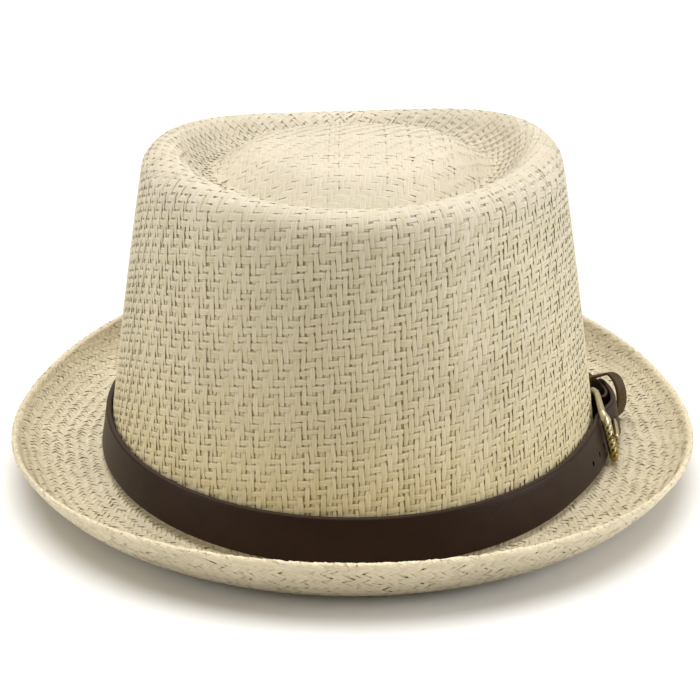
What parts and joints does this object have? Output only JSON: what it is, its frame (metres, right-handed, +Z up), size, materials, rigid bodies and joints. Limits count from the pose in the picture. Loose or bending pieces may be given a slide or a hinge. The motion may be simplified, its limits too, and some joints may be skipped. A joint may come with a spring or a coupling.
{
  "type": "straw hat",
  "caption": "Woven straw hat with a flat dented crown, a short upturned brim and a dark leather belt with a brass buckle.",
  "frame": {"origin": "centre of the brim's outline in plan, on the surface the hat rests on", "axes": "+Z up through the crown, -Y towards the front, +X towards the side with the buckle"},
  "size_m": [0.2304, 0.2755, 0.1085],
  "materials": {
    "straw": "matte woven",
    "leather": "satin, cut edges",
    "brass": "aged, brushed"
  },
  "bodies": {
    "root": {"straw_body": "straw", "leather_belt": "leather", "buckle_frame": "brass", "buckle_prong": "brass", "keeper_loop": "leather"}
  },
  "joints": []
}
